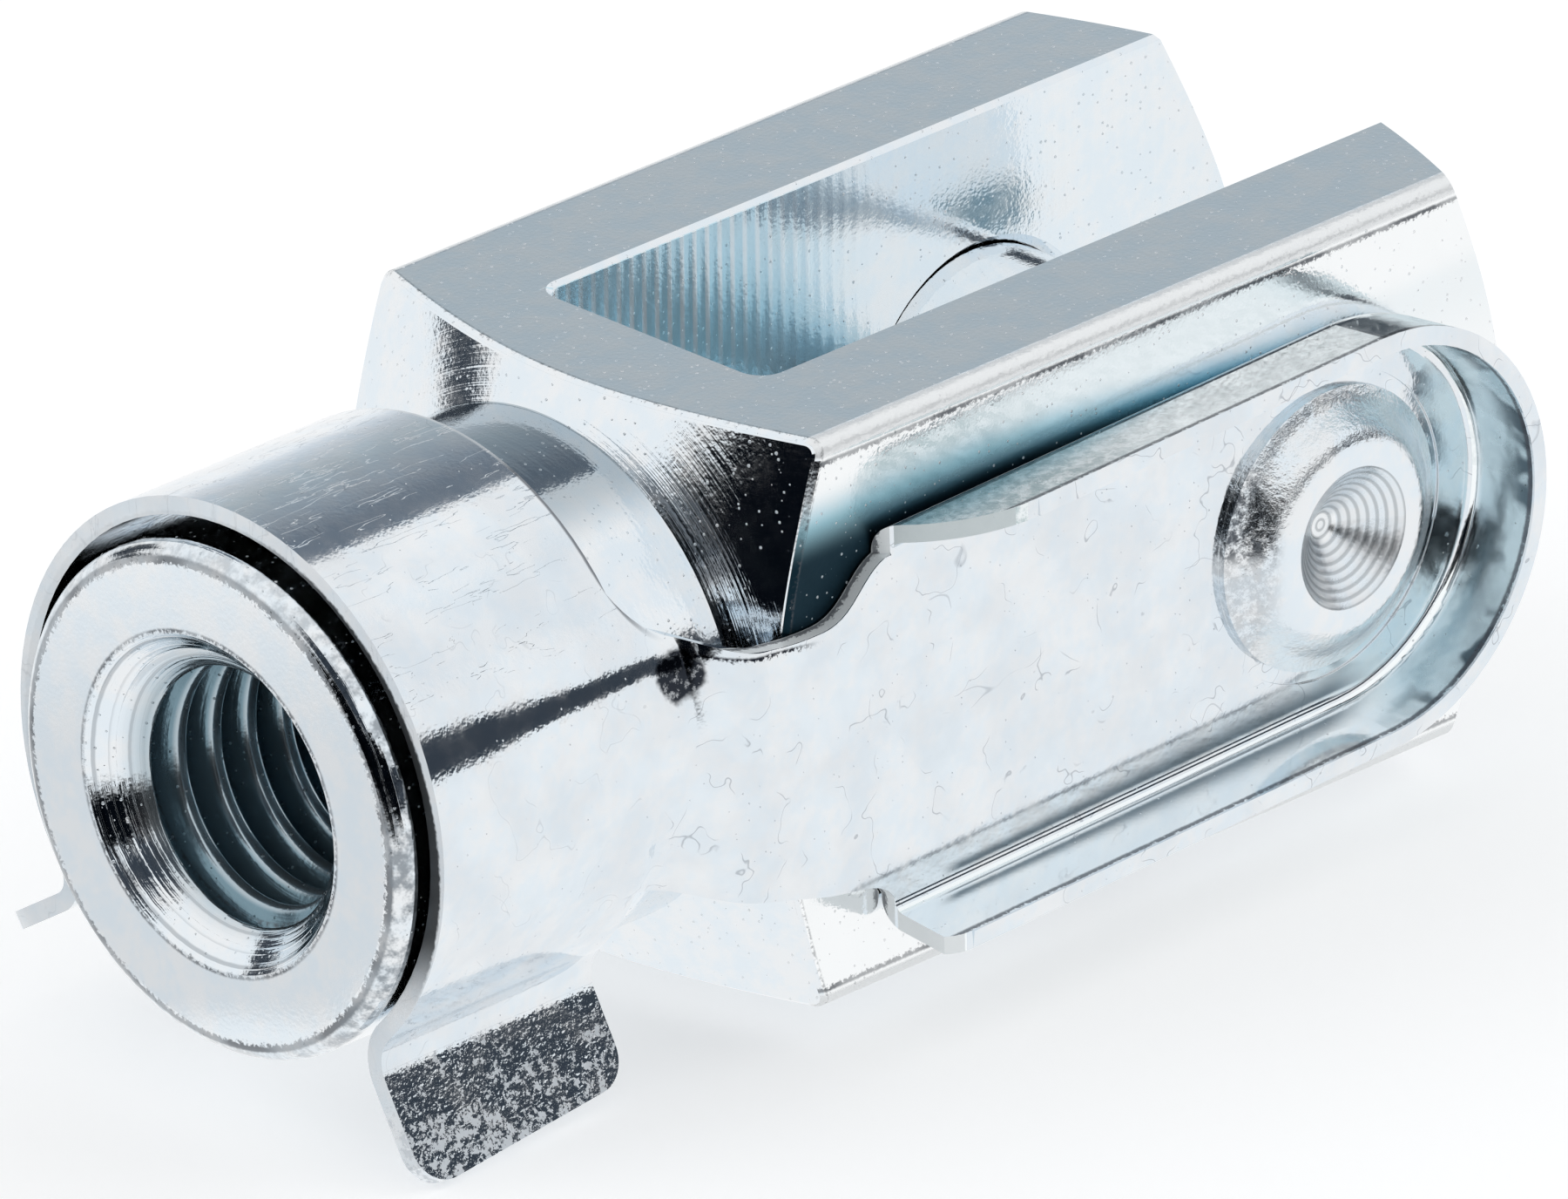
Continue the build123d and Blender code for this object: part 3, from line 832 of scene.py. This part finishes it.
reflection_spot = node(tree, "ShaderNodeVectorMath", {0: place, 1: JUNCTION_REFLECTION_SPOT}, operation="DISTANCE")
ragged = noise(tree, place, 2.0, detail=3.0)
reflection_spot = calc(tree, "MULTIPLY_ADD", ragged, 0.5, reflection_spot.outputs["Value"])
flecks = ramp(tree, noise(tree, place, 5.0, detail=3.0, roughness=0.7), 0.52, 0.66, 1.0, 0.55)
reflection_spot = times(tree, ramp(tree, reflection_spot, 0.85, 1.05, 0.98, 0.0), flecks)
root_reflection = minus(tree, z, calc(tree, "MULTIPLY_ADD", x, -0.13, 0.40))
root_reflection = group_node(tree, wear_and_reflection_line, {"Place": place, "Distance": root_reflection, "Width": 0.05})["Mask"]
root_reflection = times(tree, root_reflection, ramp(tree, x, -19.5, -18.4, 1.0, 0.0), below(tree, y, -7.2))
root_reflection = times(tree, root_reflection, above(tree, x, -22.0))
colour = mix_colours(tree, calc(tree, "MAXIMUM", reflection_spot, root_reflection), colour, JUNCTION_REFLECTION)
print("clip nodes after its dirt:", len(tree.nodes))

# %% Clip: burr on the edge of the C
# The edge towards the fork has a thin burr, dark at the side and rubbed bright on top. The edge is
# straight, then turns along a round into the top of the web. Above the round's middle only the
# distance along X counts, which makes the line straight there.
WEB_ROUND = 2.4  # mm, radius in the corner above the web
WEB_ROUND_Z = 5.75
BURR_DARK = (0.16, 0.175, 0.20, 1.0)
BURR_BRIGHT = (0.78, 0.82, 0.85, 1.0)

down = calc(tree, "MINIMUM", minus(tree, z, WEB_ROUND_Z), 0.0)
back = minus(tree, x, CLIP_EDGE + WEB_ROUND)
burr = minus(tree, hypotenuse(tree, back, down), WEB_ROUND + 0.03)
burr = ramp(tree, calc(tree, "ABSOLUTE", burr), 0.02, 0.10, 0.9, 0.0)
burr = times(tree, burr, ramp(tree, z, 3.6, 4.8), below(tree, x, -21.5))
burr_tone = mix_colours(tree, ramp(tree, y, -3.0, -2.0), BURR_DARK, BURR_BRIGHT)
colour = mix_colours(tree, burr, colour, burr_tone)
print("clip nodes after its burr:", len(tree.nodes))

# %% [markdown]
# ## Clip: flange and edges
# Drawing the flange over its die polished the sheet where it slid and mottled it where it stuck.
# The punch that cut the blank left the sheet's edges rough, and the plating there is matt. Both
# lie over the skin made above, so they are mixed in after it. The solid has no material of its own
# for its edges, so they are told from the wide sides by the direction in which they look.

# %% Clip: flange
# The flange stayed bright below and came out mottled above. At the round end it is wavy and dull.
INNER_ZINC = (0.92, 0.965, 0.98, 1.0)
MOTTLED_ZINC = (0.50, 0.60, 0.62, 1.0)
WAVY_ZINC = (0.58, 0.74, 0.80, 1.0)
DEEP_ZINC = (0.06, 0.10, 0.13, 1.0)

colour = mix_colours(tree, flange, colour, INNER_ZINC)
mottle = ramp(tree, noise(tree, place, 2.6, detail=3.0, roughness=0.8), 0.36, 0.64, 0.1, 1.0)
upper_flange = times(tree, flange, invert(tree, below(tree, z, 0.0)))
upper_flange = times(tree, upper_flange, ramp(tree, x, -12.0, -6.5, 1.0, 0.25))
colour = mix_colours(tree, times(tree, upper_flange, mottle), colour, MOTTLED_ZINC)

round_end = times(tree, ramp(tree, x, -0.5, 3.0), ramp(tree, y, -8.95, -8.7, 1.0, 0.0))
round_end = times(tree, round_end, invert(tree, rim))
wave = noise(tree, place, 0.8)
waves = times(tree, wave, round_end, 0.06)
colour = mix_colours(tree, times(tree, round_end, 0.85), colour, WAVY_ZINC)
deep = times(tree, round_end, ramp(tree, wave, 0.5, 0.62), ramp(tree, y, -10.3, -9.4, 0.9, 0.1))
colour = mix_colours(tree, deep, colour, DEEP_ZINC)
print("clip nodes after its flange:", len(tree.nodes))

# %% Clip: painted dark reflection in the dish
# The dish is painted darker towards its lower bend: a painted dark reflection along the bend.
BEND_REFLECTION_ZINC = (0.10, 0.145, 0.18, 1.0)

depth = ramp(tree, x, -14.0, 0.0, 0.35, 1.05)
bend_reflection = ramp(tree, calc(tree, "DIVIDE", lower_bend, depth), -1.0, 0.05)
bend_reflection = times(tree, bend_reflection, ramp(tree, lower_bend, 0.05, 0.2, 1.0, 0.0))
bend_reflection = times(tree, bend_reflection, ramp(tree, x, -14.6, -13.4))
bend_reflection = times(tree, bend_reflection, ramp(tree, y, -8.5, -8.54), ramp(tree, x, 0.0, 3.0, 1.0, 0.0))
colour = mix_colours(tree, times(tree, bend_reflection, bend_reflection, 0.9), colour, BEND_REFLECTION_ZINC)
print("clip nodes after its grime:", len(tree.nodes))

# %% Clip: sheared edges
# A sheared edge is bright over the half that the punch cut, and grey and torn over the other half.
# The faces of an edge are found by the way they look: along X on the collar, not along Y elsewhere.
TORN_ZINC = (0.02, 0.023, 0.026, 1.0)
EDGE_LINE = (0.10, 0.11, 0.13, 1.0)
RIM_LINE, INSIDE_LINE = -10.46, -8.14  # mm along Y; the lines worn beside the rim and the arm
HALF_TURNED = 0.5  # an edge looks less than this along Y

facing = node(tree, "ShaderNodeTexCoord").outputs["Normal"]
facing = node(tree, "ShaderNodeSeparateXYZ", {0: facing}).outputs
facing_x, facing_y = [calc(tree, "ABSOLUTE", along) for along in facing[:2]]
collar_edge = times(tree, collar, above(tree, facing_x, 0.9))
torn = calc(tree, "MULTIPLY_ADD", noise(tree, place, 5.0, detail=3.0), 0.16, hypotenuse(tree, y, z))
torn = times(tree, collar_edge, ramp(tree, torn, 7.62, 7.72, 1.0, 0.0))
torn = times(tree, torn, ramp(tree, y, -4.0, 1.0, 1.0, 0.1), ramp(tree, z, -4.5, -1.5))
colour = mix_colours(tree, times(tree, torn, 0.95), colour, TORN_ZINC)

edge_on = below(tree, facing_y, HALF_TURNED)
arm_edge = times(tree, edge_on, above(tree, y, ARM_FACE + 0.03))
arm_edge = times(tree, arm_edge, below(tree, y, ARM_INSIDE), not_collar)
flange_end = times(tree, flange, above(tree, facing_x, 0.2), below(tree, x, -6.0))
arm_edge = calc(tree, "MAXIMUM", arm_edge, flange_end)
colour = mix_colours(tree, times(tree, arm_edge, 0.9), colour, INNER_ZINC)
upper_end = times(tree, flange_end, above(tree, z, 0.0), 0.5)
colour = mix_colours(tree, upper_end, colour, MOTTLED_ZINC)
for where, zone in ((RIM_LINE, flange), (INSIDE_LINE, arm_edge)):
    line = {"Place": place, "Distance": minus(tree, y, where), "Width": 0.08}
    line = times(tree, group_node(tree, wear_and_reflection_line, line)["Mask"], zone, edge_on, 0.85)
    colour = mix_colours(tree, line, colour, EDGE_LINE)
tree.links.new(colour, shader.inputs["Base Color"])
print("clip nodes after its colours:", len(tree.nodes))

# %% Clip: relief and shine
RUB_DEPTH = 0.005  # mm

height = plus(tree, skin["Height"], sway, waves, dents)
height = calc(tree, "MULTIPLY_ADD", rubs, RUB_DEPTH, height)
press_into_surface(tree, shader, plus(tree, ridge, height))
rough_zones = (
    (round_end, 0.14),
    (torn, 0.3),
    (upper_flange, 0.15),
    (arm_edge, 0.3),
    (scrapes, 0.4),
)
roughen(tree, shader, skin["Roughness"], rough_zones)
frosted = times(tree, scrapes, 0.55)
bright_edge = times(tree, collar_edge, invert(tree, torn))
for zone, share in ((arm_edge, 0.65), (burr, 0.6), (bright_edge, 0.6)):
    frosted = calc(tree, "MULTIPLY_ADD", zone, share, frosted)
frost(tree, shader, frosted)
print("clip nodes:", len(tree.nodes))

# %% [markdown]
# ## Pin: turned, and riveted over at its end
# The pin was turned, pushed through the clip's arm and riveted there: a punch with a stepped point
# spread its end into a head and left a dimple with fine rings. The head shows the hammering, the
# shaft doesn't. Both are told apart by their place along Y and their distance from the pin's axis.

# %% Pin: relief
HEAD_START = -8.5  # mm; y past which the pin is its head
DIMPLE_END = -6.0  # y that the dimple doesn't reach
DIMPLE_RADIUS = 1.96
HAMMERED_RADII = 2.2, 2.9  # where the hammering begins, and where it is full
PUNCH_PITCH = 0.2  # mm between the steps in the dimple
STEP_DEPTH = 0.0022
DENT_SCALE, DENT_DEPTH = 5.0, 0.03

pin_zinc, tree, shader = start_plating("pin_zinc")
place, (x, y, z) = place_on_piece(tree)
skin = group_node(tree, zinc_skin, {"Place": place, "Grain": 1.5, "Specks": 0.7})
radius = hypotenuse(tree, x, z)
head = below(tree, y, HEAD_START)
dimple = times(tree, below(tree, radius, DIMPLE_RADIUS), below(tree, y, DIMPLE_END))
steps = calc(tree, "SINE", times(tree, radius, 2 * pi / PUNCH_PITCH))
hammered = times(tree, head, ramp(tree, radius, *HAMMERED_RADII))
dents = noise(tree, place, DENT_SCALE, detail=3.0, roughness=0.7)
dents = times(tree, dents, hammered, DENT_DEPTH)
turned = group_node(tree, tool_lines, {"Along": plus(tree, radius, y), "Coarse": 0.4})["Height"]
turned = times(tree, turned, invert(tree, hammered))
height = plus(tree, skin["Height"], dents, turned)
height = plus(tree, height, times(tree, steps, dimple, STEP_DEPTH))
press_into_surface(tree, shader, height)
print("pin nodes after its relief:", len(tree.nodes))

# %% Pin: colour and shine
GROOVE_ZINC = (0.30, 0.33, 0.35, 1.0)
DOME_REFLECTION_ZINC = (0.03, 0.04, 0.055, 1.0)
DOME_REFLECTION_Z = 1.3  # mm

shaft = calc(tree, "SUBTRACT", 0.8, head, clamp=True)
colour = mix_colours(tree, shaft, skin["Colour"], WHITE_ZINC)
grooves = times(tree, ramp(tree, steps, -0.9, 0.2, 1.0, 0.0), dimple, 0.55)
colour = mix_colours(tree, grooves, colour, GROOVE_ZINC)

# The head is painted darker in mottled patches on one side: a painted dark reflection on the dome.
dome_reflection = ramp(tree, noise(tree, place, 4.0, detail=3.0, roughness=0.75), 0.34, 0.6)
off_reflection = calc(tree, "ABSOLUTE", minus(tree, z, DOME_REFLECTION_Z))
dome_reflection = times(tree, dome_reflection, ramp(tree, off_reflection, 0.7, 1.3, 1.0, 0.3))
dome_reflection = times(tree, dome_reflection, hammered, ramp(tree, x, -3.0, -2.4, 0.9, 0.0))
colour = mix_colours(tree, dome_reflection, colour, DOME_REFLECTION_ZINC)
tree.links.new(colour, shader.inputs["Base Color"])
roughen(tree, shader, skin["Roughness"], ((hammered, 0.12), (dimple, 0.2)))
print("pin nodes:", len(tree.nodes))

# %% [markdown]
# ## Plate the solids
# Each solid gets its zinc in place of the plain material that it came with. Only the material is
# changed. The shapes stay as they were packed, so that the part keeps its sizes.

# %% Plate the three solids
plated = {"fork_head": fork_zinc, "spring_clip": clip_zinc, "clevis_pin": pin_zinc}
for name, material in plated.items():
    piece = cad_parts[name]
    piece.data.materials.clear()
    piece.data.materials.append(material)
print("plated:", [material.name for material in plated.values()])

# %% [markdown]
# ## Turns of the thread
# The solid has a plain bore at the thread's outer diameter. The tap leaves a ridge that winds down
# that bore: its section is a blunt triangle with flanks at 60 degrees, which stands 0.68 mm proud.
# The section is drawn once and spun around the rod's axis, and moves on by one pitch in each turn,
# as the tap did. A bump in the material would be less work, but it would look flat from the side.
#
# The countersink was cut after the tap, so the first turn thins out along its cone. Here every
# corner of the ridge that would stand inside the cone is moved out to it.

# %% Thread: section
THREAD_PITCH = 1.25 * MM
THREAD_OUTER = BORE_RADIUS * MM
THREAD_INNER = 3.32 * MM
THREAD_DEPTH = THREAD_OUTER - THREAD_INNER
CREST_HALF = THREAD_PITCH / 8
ROOT_HALF = CREST_HALF + THREAD_DEPTH * tan(radians(30))
TUCK = 0.02 * MM  # how far the ridge's foot goes into the wall of the bore
CREST_ROUND = 0.1 * MM
NECK_FACE_X = NECK_END * MM
FIRST_TURN_X = NECK_FACE_X + 0.1 * MM
FLANK_CUTS = 5


def draw_section(bm):
    """One cross-section of the ridge: two flanks, and a crest with round corners."""
    section = [(-ROOT_HALF, TUCK), (-CREST_HALF, -THREAD_DEPTH)]
    section += [(CREST_HALF, -THREAD_DEPTH), (ROOT_HALF, TUCK)]
    corners = []
    for along, out in section:
        corners.append(bm.verts.new((FIRST_TURN_X + along, 0, THREAD_OUTER + out)))
    for pair in zip(corners, corners[1:]):
        bm.edges.new(pair)
    crest = {"offset": CREST_ROUND, "segments": 3, "profile": 0.5, "material": -1}
    bmesh.ops.bevel(bm, geom=corners[1:3], affect="VERTICES", **crest)
    flanks = [edge for edge in bm.edges if edge.calc_length() > THREAD_DEPTH / 2]
    bmesh.ops.subdivide_edges(bm, edges=flanks, cuts=FLANK_CUTS)


print("thread depth, mm:", round(THREAD_DEPTH / MM, 2))


# %% Thread: clear of the countersink
FOREMOST_X = NECK_FACE_X + 0.03 * MM
CONE_GAP = 0.004 * MM


def clear_countersink(bm):
    """Move what stands in front of the neck's end back, and what stands inside the cone out."""
    for vertex in bm.verts:
        vertex.co.x = max(vertex.co.x, FOREMOST_X)
        cone = MOUTH_RADIUS * MM - (vertex.co.x - NECK_FACE_X)
        if cone > THREAD_OUTER:
            cone += CONE_GAP
        reach = Vector((0, vertex.co.y, vertex.co.z))
        if reach.length < cone:
            reach.length = cone
            vertex.co.yz = reach.yz


print("countersink radius, mm:", MOUTH_RADIUS)

# %% Thread
STEPS_PER_TURN = 72
WELD = 0.0005 * MM  # corners closer than this become one


def cut_thread(name):
    """The ridge of an internal thread, tucked a little into the wall of its bore."""
    turns = (SLOT_ROOT * MM - ROOT_HALF - FIRST_TURN_X) / THREAD_PITCH
    steps = int(turns * STEPS_PER_TURN)
    bm = bmesh.new()
    draw_section(bm)
    bmesh.ops.spin(
        bm,
        geom=bm.verts[:] + bm.edges[:],
        axis=(1, 0, 0),
        cent=(0, 0, 0),
        angle=2 * pi * steps / STEPS_PER_TURN,
        dvec=(THREAD_PITCH / STEPS_PER_TURN, 0, 0),
        steps=steps,
    )
    clear_countersink(bm)
    bmesh.ops.remove_doubles(bm, verts=bm.verts, dist=WELD)
    bmesh.ops.recalc_face_normals(bm, faces=bm.faces)
    for face in bm.faces:
        face.smooth = True
    mesh = bpy.data.meshes.new(name)
    bm.to_mesh(mesh)
    bm.free()
    piece = bpy.data.objects.new(name, mesh)
    scene.collection.objects.link(piece)
    piece.data.materials.append(fork_zinc)
    print(name, "turns:", round(turns, 1), "faces:", len(mesh.polygons))
    return piece


thread = cut_thread("thread")
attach(thread, "fork")

# %% [markdown]
# ## Sizes and finish
# The box around all that is seen is printed, as the box of the solids was at the start. The thread
# lies inside the neck, so the two boxes should be the same.

# %% Sizes and finish
low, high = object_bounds()
print("seen box, mm:", [round(side / MM, 2) for side in high - low])
